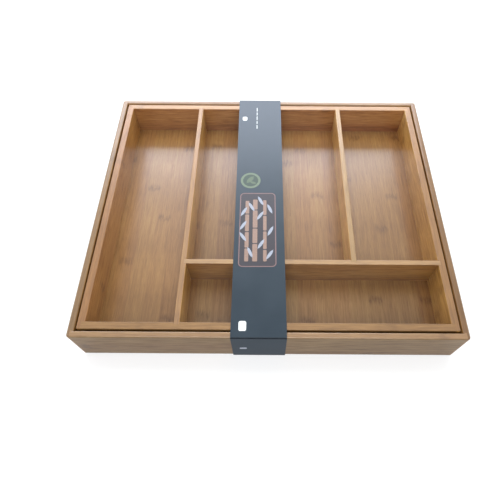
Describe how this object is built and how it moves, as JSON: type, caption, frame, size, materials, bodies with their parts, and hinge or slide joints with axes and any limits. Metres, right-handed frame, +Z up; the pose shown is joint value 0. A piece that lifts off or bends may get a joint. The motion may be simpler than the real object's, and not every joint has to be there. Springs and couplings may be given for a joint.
{
  "type": "expandable cutlery tray",
  "caption": "Bamboo cutlery tray: a compartmented main tray nested in two side wings that slide out, wrapped front to back in a plain folded card sleeve.",
  "frame": {"origin": "under the middle of the closed tray, on the underside of the card sleeve, which is the surface it rests on", "axes": "+X to the right, the way the right wing slides out; +Y to the back; +Z up, out of the compartments"},
  "size_m": [0.415, 0.355, 0.055],
  "materials": {
    "bamboo_inner": "satin",
    "bamboo_outer": "satin",
    "dowel": "matte",
    "card": "satin"
  },
  "bodies": {
    "main_tray": {"main_floor": "bamboo_inner", "main_left_wall": "bamboo_inner", "main_right_wall": "bamboo_inner", "main_front_wall": "bamboo_inner", "main_back_wall": "bamboo_inner", "long_divider": "bamboo_inner", "cross_divider": "bamboo_inner", "middle_divider": "bamboo_inner", "right_divider": "bamboo_inner", "left_stop_pegs": "dowel", "right_stop_pegs": "dowel"},
    "left_wing": {"left_wing_side": "bamboo_outer", "left_wing_floor": "bamboo_outer", "left_wing_front_rail": "bamboo_outer", "left_wing_back_rail": "bamboo_outer"},
    "right_wing": {"right_wing_side": "bamboo_outer", "right_wing_floor": "bamboo_outer", "right_wing_front_rail": "bamboo_outer", "right_wing_back_rail": "bamboo_outer"},
    "card_sleeve": {"card_sleeve": "card"}
  },
  "joints": [
    {"name": "left_wing_slide", "type": "slide", "parent": "main_tray", "child": "left_wing", "axis": [-1, 0, 0], "range_m": [0, 0.088]},
    {"name": "right_wing_slide", "type": "slide", "parent": "main_tray", "child": "right_wing", "axis": [1, 0, 0], "range_m": [0, 0.088]},
    {"name": "sleeve_slide", "type": "slide", "parent": "main_tray", "child": "card_sleeve", "axis": [1, 0, 0], "range_m": [-0.325, 0.345]}
  ]
}
